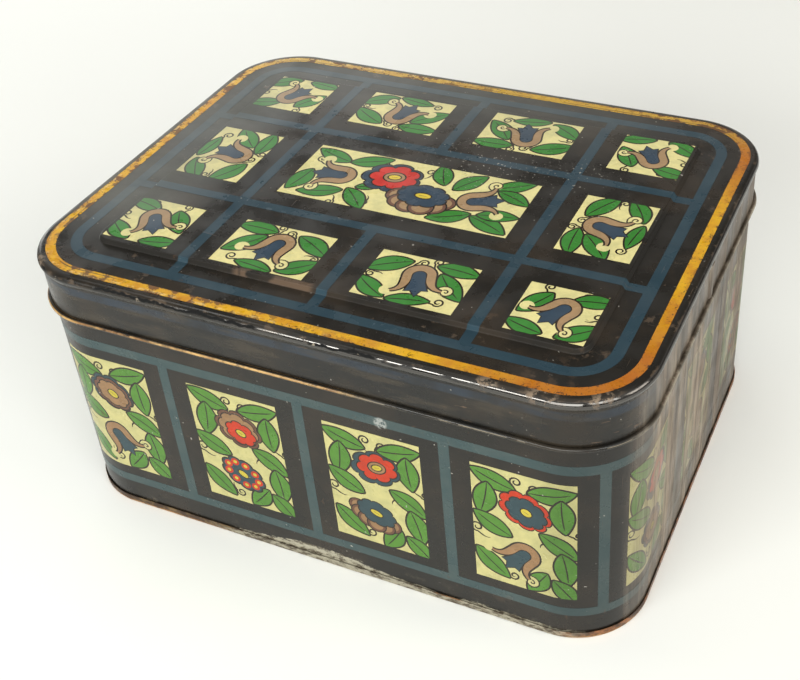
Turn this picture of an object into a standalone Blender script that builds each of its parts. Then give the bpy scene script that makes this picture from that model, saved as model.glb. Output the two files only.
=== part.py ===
"""Rectangular printed biscuit tin with a slip-on lid.

Frame: origin under the middle of the base, on the surface the tin stands on.
+X runs along the long front side to its right-hand end, +Y goes from the front to the back, +Z is up.
Every sheet-metal piece follows the same rounded-rectangle plan, offset inwards or outwards.
"""

import math

import bmesh
import bpy

MM = 0.001

# Driving dimensions
LID_LENGTH = 236 * MM          # over the lid's shoulder
LID_DEPTH = 182 * MM
LID_CORNER_RADIUS = 28.8 * MM
RIM_Z = 112.5 * MM             # flat rim of the lid
PLATEAU_RISE = 1.6 * MM        # embossed middle of the lid above its rim
PLATEAU_MARGIN = 22.5 * MM     # lid's edge to the foot of the embossing
SKIRT_HEM_Z = 92.6 * MM        # centre of the lid's rolled hem
BODY_INSET = 1.75 * MM         # lid's shoulder to the body wall, each side
SHEET = 0.35 * MM              # tinplate
GAP = 0.3 * MM                 # clearance between neighbouring pieces

# Formed edges and pressings
SHOULDER_RADIUS = 2.4 * MM
FLANGE_DROP = 4.2 * MM         # lid panel's turned-down edge, below the rim
SKIRT_INSET = 0.95 * MM        # lid's shoulder to the skirt's outer face
HEM_RADIUS = 0.9 * MM          # rolled hem at the foot of the skirt
RIM_CURL_RADIUS = 0.9 * MM     # safe edge at the top of the body
BASE_EDGE_RADIUS = 0.9 * MM
BASE_FLANGE_HEIGHT = 3.2 * MM  # base plate's turned-up edge round the foot of the body
BASE_FOOT_WIDTH = 12 * MM      # flat ring the tin stands on
BASE_RECESS = 1.2 * MM         # middle of the base above that ring
EMBOSS_RUN = 2.2 * MM          # width of the slope up to a pressed panel

# Seams: where the two halves of the body and of the skirt meet, on the short sides
BODY_SEAM_Y = 25.3 * MM        # behind the middle on the right, in front of it on the left
SKIRT_SEAM_Y = 0.0
SEAM_STRIP_WIDTH = 4.5 * MM
SEAM_STRIP_THICKNESS = 0.8 * MM
SKIRT_LAP_WIDTH = 5.0 * MM
STRIP_EDGE = 0.12 * MM

# Facets
CORNER_STEPS = 8               # straight facets round each corner
CURL_STEPS = 6                 # facets round three quarters of a rolled edge
BEND_STEPS = 3                 # facets round a quarter bend

HALF_X = LID_LENGTH / 2
HALF_Y = LID_DEPTH / 2
ARC_X = HALF_X - LID_CORNER_RADIUS     # centres of the corner arcs
ARC_Y = HALF_Y - LID_CORNER_RADIUS

# Outward offsets from the corner arcs' centres, the radius each face has round the corners
SKIRT_OUTER = LID_CORNER_RADIUS - SKIRT_INSET
SKIRT_INNER = SKIRT_OUTER - SHEET
WALL_OUTER = LID_CORNER_RADIUS - BODY_INSET
WALL_INNER = WALL_OUTER - SHEET
BASE_OUTER = WALL_OUTER + GAP + SHEET

WALL_FOOT_Z = SHEET + GAP
WALL_TOP_Z = RIM_Z - SHEET - GAP

BLACK_PRINT = ("black_printed_tinplate", (0.045, 0.042, 0.038, 1), 0.42, 0.15)
SOLDER = ("solder", (0.36, 0.36, 0.35, 1), 0.5, 0.85)
BASE_PLATE = ("lacquered_base", (0.30, 0.19, 0.11, 1), 0.45, 0.55)


def clear_scene():
    for obj in list(bpy.data.objects):
        bpy.data.objects.remove(obj, do_unlink=True)


def new_collection(name):
    collection = bpy.data.collections.new(name)
    bpy.context.scene.collection.children.link(collection)
    return collection


def principled(spec):
    name, colour, roughness, metallic = spec
    material = bpy.data.materials.get(name) or bpy.data.materials.new(name)
    material.use_nodes = True
    shader = material.node_tree.nodes["Principled BSDF"]
    shader.inputs["Base Color"].default_value = colour
    shader.inputs["Roughness"].default_value = roughness
    shader.inputs["Metallic"].default_value = metallic
    material.diffuse_color = colour
    return material


def corner(sign_x, sign_y, start_deg, radius):
    """Points round one corner of the plan, a quarter turn anticlockwise from start_deg."""
    points = []
    for step in range(CORNER_STEPS + 1):
        angle = math.radians(start_deg + 90 * step / CORNER_STEPS)
        x = sign_x * ARC_X + radius * math.cos(angle)
        y = sign_y * ARC_Y + radius * math.sin(angle)
        points.append((x, y))
    return points


def plan(radius):
    """The whole rounded rectangle, anticlockwise from the right side's rear end."""
    rear = corner(1, 1, 0, radius) + corner(-1, 1, 90, radius)
    front = corner(-1, -1, 180, radius) + corner(1, -1, 270, radius)
    return rear + front


def front_half(radius, left_y, right_y):
    """The plan from the left side's seam round the front to the right side's seam."""
    left_end = [(-ARC_X - radius, left_y)]
    right_end = [(ARC_X + radius, right_y)]
    return left_end + corner(-1, -1, 180, radius) + corner(1, -1, 270, radius) + right_end


def rear_half(radius, left_y, right_y):
    """The plan from the right side's seam round the back to the left side's seam."""
    right_end = [(ARC_X + radius, right_y)]
    left_end = [(-ARC_X - radius, left_y)]
    return right_end + corner(1, 1, 0, radius) + corner(-1, 1, 90, radius) + left_end


def arc(centre, radius, start_deg, end_deg, steps):
    """Points of a bend in the section: (outward, z)."""
    out, z = centre
    points = []
    for step in range(steps + 1):
        angle = math.radians(start_deg + (end_deg - start_deg) * step / steps)
        points.append((out + radius * math.cos(angle), z + radius * math.sin(angle)))
    return points


def poly_curve(name, points):
    curve = bpy.data.curves.new(name, "CURVE")
    curve.dimensions = "2D"
    curve.fill_mode = "NONE"
    spline = curve.splines.new("POLY")
    spline.points.add(len(points) - 1)
    for spline_point, (x, y) in zip(spline.points, points):
        spline_point.co = (x, y, 0, 1)
    return curve


def strip(name, path, section, spec, parts, guides):
    """A strip of sheet metal: an open section swept along the plan, then given its thickness.

    section holds (outward, z) points measured from the path, with the metal on their left-hand side
    as seen along +Y in the right-hand wall.
    """
    section_curve = poly_curve(name + "_section", section)
    guide = bpy.data.objects.new(name + "_section", section_curve)
    guide.hide_render = True
    guide.display_type = "WIRE"
    guides.objects.link(guide)

    sweep = poly_curve(name, path)
    sweep.bevel_mode = "OBJECT"
    sweep.bevel_object = guide
    obj = bpy.data.objects.new(name, sweep)
    parts.objects.link(obj)
    obj.data.materials.append(principled(spec))

    sheet = obj.modifiers.new("Sheet thickness", "SOLIDIFY")
    sheet.thickness = SHEET
    sheet.offset = 1
    sheet.use_even_offset = True
    return obj


def pressed_panel(name, outline_radius, start_z, steps, side, spec, parts):
    """A panel pressed from one sheet: its outline is stepped inwards and up or down, then thickened.

    steps holds (inward, up) moves from the free edge of the turned flange to the middle of the panel, along
    the panel's outer face; side is 1 where the metal lies above that face and -1 where it lies below.
    """
    bm = bmesh.new()
    ring = [bm.verts.new((x, y, start_z)) for x, y in plan(outline_radius)]
    face = bm.faces.new(ring)
    for inward, up in steps:
        if inward:
            bmesh.ops.inset_region(bm, faces=[face], thickness=inward, depth=up, use_even_offset=True)
        else:
            moved = bmesh.ops.extrude_discrete_faces(bm, faces=[face])["faces"]
            bmesh.ops.translate(bm, vec=(0, 0, up), verts=moved[0].verts)
            face = moved[0]
    mesh = bpy.data.meshes.new(name)
    bm.to_mesh(mesh)
    bm.free()
    obj = bpy.data.objects.new(name, mesh)
    parts.objects.link(obj)
    mesh.materials.append(principled(spec))
    mesh.shade_smooth()
    mesh.set_sharp_from_angle(angle=math.radians(35))
    sheet = obj.modifiers.new("Sheet thickness", "SOLIDIFY")
    sheet.thickness = SHEET
    sheet.offset = side
    sheet.use_even_offset = True
    return obj


def bend_moves(radius, start_deg, end_deg, steps):
    """(inward, up) moves that follow a bend, for pressed_panel."""
    points = arc((0, 0), radius, start_deg, end_deg, steps)
    return [(a[0] - b[0], b[1] - a[1]) for a, b in zip(points, points[1:])]


def slope_moves(rise):
    """(inward, up) moves of a soft S-shaped slope."""
    levels = [(0.0, 0.0), (0.25, 0.12), (0.75, 0.88), (1.0, 1.0)]
    return [((b[0] - a[0]) * EMBOSS_RUN, (b[1] - a[1]) * rise) for a, b in zip(levels, levels[1:])]


def upright_strip(name, centre, size, spec, parts):
    """A flat upright strip with softened edges."""
    mesh = bpy.data.meshes.new(name)
    bm = bmesh.new()
    bmesh.ops.create_cube(bm, size=1)
    bmesh.ops.scale(bm, vec=size, verts=bm.verts)
    bm.to_mesh(mesh)
    bm.free()
    obj = bpy.data.objects.new(name, mesh)
    obj.location = centre
    parts.objects.link(obj)
    mesh.materials.append(principled(spec))
    edges = obj.modifiers.new("Softened edges", "BEVEL")
    edges.width = STRIP_EDGE
    edges.segments = 1
    return obj


def lid_panel(parts):
    """The lid's top: turned-down edge, rounded shoulder, flat rim and raised middle, in one sheet."""
    straight = FLANGE_DROP - SHOULDER_RADIUS
    to_foot = PLATEAU_MARGIN - SHOULDER_RADIUS
    steps = [(0, straight)]
    steps += bend_moves(SHOULDER_RADIUS, 0, 90, BEND_STEPS)
    steps += [(to_foot, 0)]
    steps += slope_moves(PLATEAU_RISE)
    return pressed_panel("lid_panel", LID_CORNER_RADIUS, RIM_Z - FLANGE_DROP, steps, -1, BLACK_PRINT, parts)


def base_plate(parts):
    """The bottom: edge turned up outside the wall, a flat ring to stand on and a slightly raised middle."""
    straight = BASE_FLANGE_HEIGHT - BASE_EDGE_RADIUS
    steps = [(0, -straight)]
    steps += [(inward, -up) for inward, up in bend_moves(BASE_EDGE_RADIUS, 0, 90, BEND_STEPS)]
    steps += [(BASE_FOOT_WIDTH, 0)]
    steps += slope_moves(BASE_RECESS)
    return pressed_panel("base_plate", BASE_OUTER, BASE_FLANGE_HEIGHT, steps, 1, BASE_PLATE, parts)


def skirt_halves(parts, guides):
    """The lid's skirt: two strips whose lower edge is rolled outwards into a hem."""
    top = RIM_Z - SHOULDER_RADIUS
    curl_centre = (HEM_RADIUS, SKIRT_HEM_Z)
    section = [(0, top)] + arc(curl_centre, HEM_RADIUS, 180, 450, CURL_STEPS)
    half_gap = GAP / 2
    front = front_half(SKIRT_INNER, SKIRT_SEAM_Y - half_gap, SKIRT_SEAM_Y - half_gap)
    rear = rear_half(SKIRT_INNER, SKIRT_SEAM_Y + half_gap, SKIRT_SEAM_Y + half_gap)
    strip("lid_skirt_front", front, section, BLACK_PRINT, parts, guides)
    strip("lid_skirt_rear", rear, section, BLACK_PRINT, parts, guides)


def skirt_laps(parts):
    """The narrow laps that join the two strips of the skirt, on the outside of the short sides."""
    low = SKIRT_HEM_Z + HEM_RADIUS + GAP
    high = RIM_Z - FLANGE_DROP - GAP
    size = (SHEET, SKIRT_LAP_WIDTH, high - low)
    x = ARC_X + SKIRT_OUTER + GAP + SHEET / 2
    for name, side in (("lid_left_seam", -1), ("lid_right_seam", 1)):
        upright_strip(name, (side * x, SKIRT_SEAM_Y, (low + high) / 2), size, BLACK_PRINT, parts)


def wall_halves(parts, guides):
    """The body: two bent sheets whose upper edge is rolled inwards."""
    curl_centre = (-RIM_CURL_RADIUS, WALL_TOP_Z - RIM_CURL_RADIUS)
    section = [(0, WALL_FOOT_Z)] + arc(curl_centre, RIM_CURL_RADIUS, 0, 270, CURL_STEPS)
    half_gap = GAP / 2
    front = front_half(WALL_OUTER, -BODY_SEAM_Y - half_gap, BODY_SEAM_Y - half_gap)
    rear = rear_half(WALL_OUTER, -BODY_SEAM_Y + half_gap, BODY_SEAM_Y + half_gap)
    strip("body_front", front, section, BLACK_PRINT, parts, guides)
    strip("body_rear", rear, section, BLACK_PRINT, parts, guides)


def wall_seams(parts):
    """The folded and soldered seams inside the body, where its two halves meet."""
    low = WALL_FOOT_Z + BASE_EDGE_RADIUS
    high = WALL_TOP_Z - 2 * RIM_CURL_RADIUS - GAP
    size = (SEAM_STRIP_THICKNESS, SEAM_STRIP_WIDTH, high - low)
    x = ARC_X + WALL_INNER - GAP - SEAM_STRIP_THICKNESS / 2
    for name, side in (("body_left_seam", -1), ("body_right_seam", 1)):
        upright_strip(name, (side * x, side * BODY_SEAM_Y, (low + high) / 2), size, SOLDER, parts)


def main():
    clear_scene()
    parts = new_collection("biscuit_tin")
    guides = new_collection("sections")
    base_plate(parts)
    wall_halves(parts, guides)
    wall_seams(parts)
    lid_panel(parts)
    skirt_halves(parts, guides)
    skirt_laps(parts)


main()
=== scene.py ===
"""Looks of the printed biscuit tin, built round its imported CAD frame.

Frame: metres, origin under the middle of the base, +X to the front's right-hand end, +Y back, +Z up.
Each sheet-metal piece is a closed shell, finer than its CAD node and of the same size. Each printed area is
a thin closed plate of ink, just proud of its sheet. The plan of every piece is one rounded rectangle, so a
place on it is a distance round the wall and a distance outwards from the centres of the corner arcs.
"""

import math
import random
from functools import reduce

import bmesh
import bpy
from mathutils import Matrix, Vector
from mathutils.geometry import delaunay_2d_cdt


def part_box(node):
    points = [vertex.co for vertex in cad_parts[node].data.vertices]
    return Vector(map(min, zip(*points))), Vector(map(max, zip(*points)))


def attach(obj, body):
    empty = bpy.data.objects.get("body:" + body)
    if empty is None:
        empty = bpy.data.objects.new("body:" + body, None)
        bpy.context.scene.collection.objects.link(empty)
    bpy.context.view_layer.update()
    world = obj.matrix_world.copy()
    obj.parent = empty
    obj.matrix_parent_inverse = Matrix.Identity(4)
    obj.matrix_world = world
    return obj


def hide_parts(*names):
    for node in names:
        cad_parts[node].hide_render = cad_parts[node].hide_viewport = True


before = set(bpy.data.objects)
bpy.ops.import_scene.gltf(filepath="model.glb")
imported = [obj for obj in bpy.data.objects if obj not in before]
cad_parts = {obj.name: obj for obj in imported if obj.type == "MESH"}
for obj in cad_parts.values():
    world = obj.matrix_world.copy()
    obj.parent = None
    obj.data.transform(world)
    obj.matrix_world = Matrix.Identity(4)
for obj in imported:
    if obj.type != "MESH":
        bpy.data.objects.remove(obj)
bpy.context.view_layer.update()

MM = 0.001

# Places and sizes of the CAD pieces
panel_low, panel_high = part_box("lid_panel")
skirt_low, skirt_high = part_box("lid_skirt_front")
wall_low, wall_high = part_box("body_front")
base_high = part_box("base_plate")[1]

CORNER_RADIUS = 28.8 * MM              # of the lid's shoulder
ARC_X = panel_high.x - CORNER_RADIUS   # centres of the corner arcs
ARC_Y = panel_high.y - CORNER_RADIUS
SHEET = 0.35 * MM
INK = 0.04 * MM                        # how far ink stands proud of its sheet
INK_SINK = 0.1 * MM                    # how deep an ink plate reaches into it

# Lid, as distances outwards from the arc centres and heights
SHOULDER = CORNER_RADIUS
SHOULDER_BEND = 2.4 * MM
PLATEAU_Z = panel_high.z - INK
RIM_Z = PLATEAU_Z - 1.6 * MM
EMBOSS_FOOT = SHOULDER - 22.5 * MM
EMBOSS_RUN = 1.5 * MM                  # how wide the embossing's slope is
EMBOSS_TOP = EMBOSS_FOOT - EMBOSS_RUN
FLANGE_TUCK = 0.8 * MM                 # how far the panel's turned-down edge is drawn in against the skirt
FLANGE_CURL = 0.7 * MM                 # height of the last turn of that edge
SKIRT_FACE = SHOULDER - 0.95 * MM
HEM_BEAD = 0.9 * MM                    # radius of the skirt's rolled edge
HEM_GROOVE = 0.25 * MM                 # between the hem and the skirt's face above it
LAP_TAPER = 1.1 * MM                   # width over which the skirt's laps run out
HEM_Z = skirt_low.z + HEM_BEAD
SKIRT_BAND_Z = HEM_Z + 13.2 * MM       # a printed blue band round the skirt
SKIRT_BAND_WIDTH = 3.4 * MM

# Body and base
WALL_FACE = wall_high.x - ARC_X
RIM_BEAD = 0.9 * MM                    # radius of the wall's rolled edge
RIM_GROOVE = 0.3 * MM                  # between the roll and the wall's inner face below it
SEAM_ROUNDING = 0.14 * MM              # of the edges of the body's seams
BASE_FACE = base_high.x - ARC_X
BASE_BEND = 0.9 * MM
BASE_FOOT = 12 * MM
BASE_RECESS = 1.2 * MM

# Fineness of the shells
CORNER_STEPS = 24
STRAIGHT_STEP = 12 * MM
BEND_STEPS = 8
PRINTED_STRETCHES = 4    # of the wall's section: the outer face and the start of the roll
TINY = 1e-6
SHEET_SHARP = 38         # degrees; edges that bend further are shaded sharp
LAP_SHARP = 60
INK_SHARP = 30


# ---------------------------------------------------------------- the plan

QUARTER = WALL_FACE * math.pi / 2
SIDES = [  # length, start on the rectangle of arc centres, direction; anticlockwise from the front's middle
    (ARC_X, (0, -ARC_Y), (1, 0)),
    (2 * ARC_Y, (ARC_X, -ARC_Y), (0, 1)),
    (2 * ARC_X, (ARC_X, ARC_Y), (-1, 0)),
    (2 * ARC_Y, (-ARC_X, ARC_Y), (0, -1)),
    (ARC_X, (-ARC_X, -ARC_Y), (1, 0)),
]
PERIMETER = sum(side[0] for side in SIDES) + 4 * QUARTER


def station(u):
    """The point on the rectangle of arc centres and the outward direction at distance u round the wall."""
    u %= PERIMETER
    for length, (x, y), (dx, dy) in SIDES:
        if u <= length + TINY:
            return Vector((x + dx * u, y + dy * u)), Vector((dy, -dx))
        u -= length
        if u < QUARTER - TINY:
            turn = Matrix.Rotation(u / WALL_FACE, 2)
            return Vector((x + dx * length, y + dy * length)), turn @ Vector((dy, -dx))
        u -= QUARTER
    return Vector((0, -ARC_Y)), Vector((0, -1))


def loop_stops():
    """Distances round the wall, from 0 to just short of the whole way, where a sheet is given an edge."""
    marks = []
    start = 0
    for index, (length, _, _) in enumerate(SIDES):
        parts = math.ceil(length / STRAIGHT_STEP)
        marks += [start + length * part / parts for part in range(parts)]
        start += length
        if index < 4:
            marks += [start + QUARTER * step / CORNER_STEPS for step in range(CORNER_STEPS)]
            start += QUARTER
    return marks


def stops(first, last):
    """The same between two seams, which may lie either side of the middle of the front."""
    around = [mark + lap * PERIMETER for lap in (-1, 0, 1) for mark in loop_stops()]
    return [first] + [mark for mark in around if first + MM < mark < last - MM] + [last]


def outward(x, y):
    """How far a point of the plan lies outside the rectangle of arc centres; negative inside it."""
    over_x, over_y = abs(x) - ARC_X, abs(y) - ARC_Y
    if over_x <= 0 or over_y <= 0:
        return max(over_x, over_y)
    return math.hypot(over_x, over_y)


def smooth(t):
    t = min(max(t, 0), 1)
    return t * t * (3 - 2 * t)


def lid_height(x, y):
    """The lid's upper face."""
    climb = (EMBOSS_FOOT - outward(x, y)) / EMBOSS_RUN
    return RIM_Z + (PLATEAU_Z - RIM_Z) * smooth(climb)


def on_lid(x, y, lift):
    return Vector((x, y, lid_height(x, y) + lift))


def on_wall(u, z, lift):
    centre, normal = station(u)
    point = centre + normal * (WALL_FACE + lift)
    return Vector((point.x, point.y, z))


# ---------------------------------------------------------------- shells of sheet metal

def bend(centre, radius, start_deg, end_deg, steps=BEND_STEPS):
    """Points of an arc, such as a bend in a section as (outward, z)."""
    points = []
    for step in range(steps + 1):
        angle = math.radians(start_deg + (end_deg - start_deg) * step / steps)
        points.append((centre[0] + radius * math.cos(angle), centre[1] + radius * math.sin(angle)))
    return points


def slope(out_foot, out_top, z_foot, z_top):
    """Points of a soft S-shaped slope in a section, from its foot."""
    points = []
    for step in range(BEND_STEPS + 1):
        t = step / BEND_STEPS
        points.append((out_foot + (out_top - out_foot) * t, z_foot + (z_top - z_foot) * smooth(t)))
    return points


def linked(name, data):
    obj = bpy.data.objects.new(name, data)
    bpy.context.scene.collection.objects.link(obj)
    return obj


def solid(name, bm, materials):
    """An object made of a bmesh."""
    mesh = bpy.data.meshes.new(name)
    bm.to_mesh(mesh)
    bm.free()
    for material in materials:
        mesh.materials.append(material)
    return linked(name, mesh)


def piece(name, body, bm, materials, sharp_deg):
    """A piece that rides on a body, smooth over its bends and flat on its large faces."""
    obj = solid(name, bm, materials)
    obj.data.shade_smooth()
    obj.data.set_sharp_from_angle(angle=math.radians(sharp_deg))
    obj.modifiers.new("Flat faces stay flat", "WEIGHTED_NORMAL").keep_sharp = True
    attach(obj, body)
    return obj


def sheet(name, body, bm, materials, node=None, sharp_deg=SHEET_SHARP):
    """The piece that a closed bmesh makes, its faces turned outwards. It may take the place of a CAD node."""
    bmesh.ops.recalc_face_normals(bm, faces=bm.faces)
    made = piece(name, body, bm, materials, sharp_deg)
    if node:
        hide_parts(node)


def loft(profile, marks, closed_path, closed_profile, slots):
    """A closed surface: a profile of (outward, z) points swept round the plan.

    slots holds the material index of each stretch of the profile. The attribute "across" is the way along the
    profile, for wear that runs round the tin.
    """
    bm = bmesh.new()
    across = bm.verts.layers.float.new("across")
    rings = []
    travelled = 0
    for index, (out, z) in enumerate(profile):
        if index:
            travelled += math.dist(profile[index - 1], profile[index])
        ring = []
        for mark in marks:
            centre, normal = station(mark)
            point = centre + normal * out
            vert = bm.verts.new((point.x, point.y, z))
            vert[across] = travelled
            ring.append(vert)
        rings.append(ring)
    stretches = len(profile) if closed_profile else len(profile) - 1
    spans = len(marks) if closed_path else len(marks) - 1
    for row in range(stretches):
        lower, upper = rings[row], rings[(row + 1) % len(rings)]
        for column in range(spans):
            after = (column + 1) % len(marks)
            face = bm.faces.new((lower[column], lower[after], upper[after], upper[column]))
            face.material_index = slots[row]
    if closed_profile and not closed_path:
        bm.faces.new([ring[0] for ring in rings]).material_index = slots[0]
        bm.faces.new([ring[-1] for ring in reversed(rings)]).material_index = slots[0]
    if not closed_profile:
        bm.faces.new(rings[0]).material_index = slots[0]
        bm.faces.new(list(reversed(rings[-1]))).material_index = slots[-1]
    return bm


def shell(node, body, profile, slots, materials, reach=None):
    """A CAD node's section, swept all round the plan or, if there is a reach, from one seam to the other."""
    marks = stops(*reach) if reach else loop_stops()
    bm = loft(profile, marks, not reach, bool(reach), slots)
    sheet(node + "_shell", body, bm, materials, node)


def lid_panel(printed, bare):
    """The lid's top, from the middle of its upper face out, over the shoulder, and back underneath."""
    bend_out = SHOULDER - SHOULDER_BEND
    bend_z = RIM_Z - SHOULDER_BEND
    edge_z = panel_low.z
    upper = list(reversed(slope(EMBOSS_FOOT, EMBOSS_TOP, RIM_Z, PLATEAU_Z)))
    upper += bend((bend_out, bend_z), SHOULDER_BEND, 90, 0)
    upper += [(SHOULDER - FLANGE_TUCK / 2, edge_z + FLANGE_CURL), (SHOULDER - FLANGE_TUCK, edge_z)]
    lower = [(SHOULDER - FLANGE_TUCK - SHEET / 2, edge_z)]
    lower += bend((bend_out, bend_z), SHOULDER_BEND - SHEET, 0, 90)
    lower += slope(EMBOSS_FOOT, EMBOSS_TOP, RIM_Z - SHEET, PLATEAU_Z - SHEET)
    slots = [0] * len(upper) + [1] * (len(lower) - 1)
    shell("lid_panel", "lid", upper + lower, slots, [printed, bare])


def lid_skirt(node, reach, printed, bare):
    """Half of the skirt; its foot is rolled outwards into a round hem."""
    inner = SKIRT_FACE - SHEET
    top = skirt_high.z
    hem = bend((inner + HEM_BEAD, HEM_Z), HEM_BEAD, 180, 495, 2 * BEND_STEPS)
    profile = [(inner, top)] + hem + [(SKIRT_FACE, hem[-1][1] + HEM_GROOVE), (SKIRT_FACE, top)]
    shell(node, "lid", profile, [1] + [0] * (len(profile) - 1), [printed, bare], reach)


def wall_half(node, reach, printed, bare):
    """Half of the body; its top edge is rolled inwards."""
    inner = WALL_FACE - SHEET
    foot, top = wall_low.z, wall_high.z
    roll = bend((WALL_FACE - RIM_BEAD, top - RIM_BEAD), RIM_BEAD, 0, 300, 2 * BEND_STEPS)
    profile = [(WALL_FACE, foot)] + roll + [(inner, roll[-1][1] - RIM_GROOVE), (inner, foot)]
    slots = [0] * PRINTED_STRETCHES + [1] * (len(profile) - PRINTED_STRETCHES)
    shell(node, "tin_body", profile, slots, [printed, bare], reach)


def base_plate(lacquer, bare):
    """The bottom, from the middle of its underside out, up the flange, and back over the inside."""
    bend_out = BASE_FACE - BASE_BEND
    foot_out = bend_out - BASE_FOOT
    under = list(reversed(slope(foot_out, foot_out - EMBOSS_RUN, 0, BASE_RECESS)))
    under += bend((bend_out, BASE_BEND), BASE_BEND, 270, 360) + [(BASE_FACE, base_high.z - SHEET / 2)]
    lip = bend((BASE_FACE - SHEET / 2, base_high.z - SHEET / 2), SHEET / 2, 0, 180, 4)[1:]
    over = bend((bend_out, BASE_BEND), BASE_BEND - SHEET, 360, 270)
    over += slope(foot_out, foot_out - EMBOSS_RUN, SHEET, BASE_RECESS + SHEET)
    slots = [0] * len(under + lip) + [1] * (len(over) - 1)
    shell("base_plate", "tin_body", under + lip + over, slots, [lacquer, bare])


def seam_strip(node, material):
    """A soldered seam inside the body: a rounded strip of the CAD node's size."""
    low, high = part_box(node)
    centre, size = (low + high) / 2, high - low
    bm = bmesh.new()
    across = bm.verts.layers.float.new("across")
    bmesh.ops.create_cube(bm, size=1)
    bmesh.ops.scale(bm, vec=size, verts=bm.verts)
    bmesh.ops.bevel(bm, geom=bm.edges[:], offset=SEAM_ROUNDING, segments=3, profile=0.5, affect="EDGES")
    bmesh.ops.translate(bm, vec=centre, verts=bm.verts)
    for vert in bm.verts:
        vert[across] = vert.co.z
    sheet(node + "_strip", "tin_body", bm, [material], node, LAP_SHARP)


def skirt_lap(node, material):
    """The lap of the skirt's two strips: a flat fold that runs out to nothing at both edges."""
    low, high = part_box(node)
    side = 1 if high.x > 0 else -1
    crest = max(abs(low.x), abs(high.x))
    skirt_x = ARC_X + SKIRT_FACE
    section = [(low.y, skirt_x), (low.y + LAP_TAPER, crest), (high.y - LAP_TAPER, crest), (high.y, skirt_x),
               (high.y, skirt_x - INK_SINK), (low.y, skirt_x - INK_SINK)]
    bm = bmesh.new()
    across = bm.verts.layers.float.new("across")
    ends = []
    for z in (low.z, high.z):
        ends.append([bm.verts.new((side * x, y, z)) for y, x in section])
        for vert in ends[-1]:
            vert[across] = z
    lower, upper = ends
    for index in range(len(section)):
        after = (index + 1) % len(section)
        bm.faces.new((lower[index], lower[after], upper[after], upper[index]))
    bm.faces.new(lower)
    bm.faces.new(upper)
    sheet(node + "_fold", "lid", bm, [material], node, LAP_SHARP)


# ---------------------------------------------------------------- drawing in flat inks, in millimetres

LID_INKS = {  # linear RGB
    "cream": (0.73, 0.66, 0.31),
    "green": (0.038, 0.215, 0.030),
    "tan": (0.37, 0.235, 0.125),
    "brown": (0.16, 0.075, 0.05),
    "navy": (0.030, 0.055, 0.090),
    "red": (0.57, 0.035, 0.026),
    "yellow": (0.70, 0.53, 0.06),
    "line": (0.022, 0.014, 0.009),
}
SHADED_BODY_INKS = {  # the same inks, painted darker as shade for the body's less-lit upright walls
    "cream": (0.43, 0.395, 0.175),
    "green": (0.063, 0.175, 0.021),
    "tan": (0.235, 0.133, 0.063),
    "brown": (0.11, 0.050, 0.030),
    "navy": (0.021, 0.045, 0.056),
    "red": (0.395, 0.027, 0.006),
    "yellow": (0.42, 0.34, 0.035),
    "line": (0.018, 0.012, 0.008),
}
LINE = 0.7    # width of a drawn line


def moved(shapes, at=(0, 0), turn=0, size=1.0, flip=False):
    """Shapes, mirrored left to right if flip is set, scaled, turned by degrees and placed."""
    cos, sin = math.cos(math.radians(turn)), math.sin(math.radians(turn))
    side = -1 if flip else 1
    result = []
    for outline, ink in shapes:
        points = []
        for x, y in outline:
            x, y = side * x * size, y * size
            points.append((at[0] + x * cos - y * sin, at[1] + x * sin + y * cos))
        result.append((points, ink))
    return result


def directions(points, closed):
    """The left-hand normal at each point of a line or outline."""
    normals = []
    count = len(points)
    for index in range(count):
        before = points[(index - 1) % count] if closed or index else points[index]
        after = points[(index + 1) % count] if closed or index < count - 1 else points[index]
        dx, dy = after[0] - before[0], after[1] - before[1]
        length = math.hypot(dx, dy) or 1
        normals.append((-dy / length, dx / length))
    return normals


def ribbon(points, widths):
    """The outline of a line that is drawn with a changing width."""
    left, right = [], []
    for (x, y), (nx, ny), width in zip(points, directions(points, False), widths):
        left.append((x + nx * width / 2, y + ny * width / 2))
        right.append((x - nx * width / 2, y - ny * width / 2))
    return left + right[::-1]


def grown(outline, rim):
    """A smooth anticlockwise outline, moved outwards."""
    return [(x - nx * rim, y - ny * rim) for (x, y), (nx, ny) in zip(outline, directions(outline, True))]


def outlined(outline, ink, rim=LINE):
    return [(grown(outline, rim), "line"), (outline, ink)]


def tapered(points, width, tip, rise):
    """A width for each point of a line: tip times the full one at its ends, rising from there."""
    last = len(points) - 1
    return [width * min(1, tip + rise * min(k, last - k) / last) for k in range(last + 1)]


def drawn(points, width):
    """A line with tapered ends."""
    return [(ribbon(points, tapered(points, width, 0.35, 4)), "line")]


def bezier(start, first, second, end, steps=10):
    points = []
    for step in range(steps + 1):
        t = step / steps
        weights = ((1 - t) ** 3, 3 * t * (1 - t) ** 2, 3 * t * t * (1 - t), t ** 3)
        pairs = list(zip(weights, (start, first, second, end)))
        points.append((sum(w * p[0] for w, p in pairs), sum(w * p[1] for w, p in pairs)))
    return points


def ring(radius_x, radius_y=None, steps=28, scallops=0, depth=0.0):
    """An ellipse, or a flower's edge with rounded petals."""
    points = []
    for step in range(steps):
        angle = 2 * math.pi * step / steps
        petal = 1 - depth + depth * abs(math.sin(scallops * angle / 2)) ** 0.6 if scallops else 1
        points.append((radius_x * petal * math.cos(angle), (radius_y or radius_x) * petal * math.sin(angle)))
    return points


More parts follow.
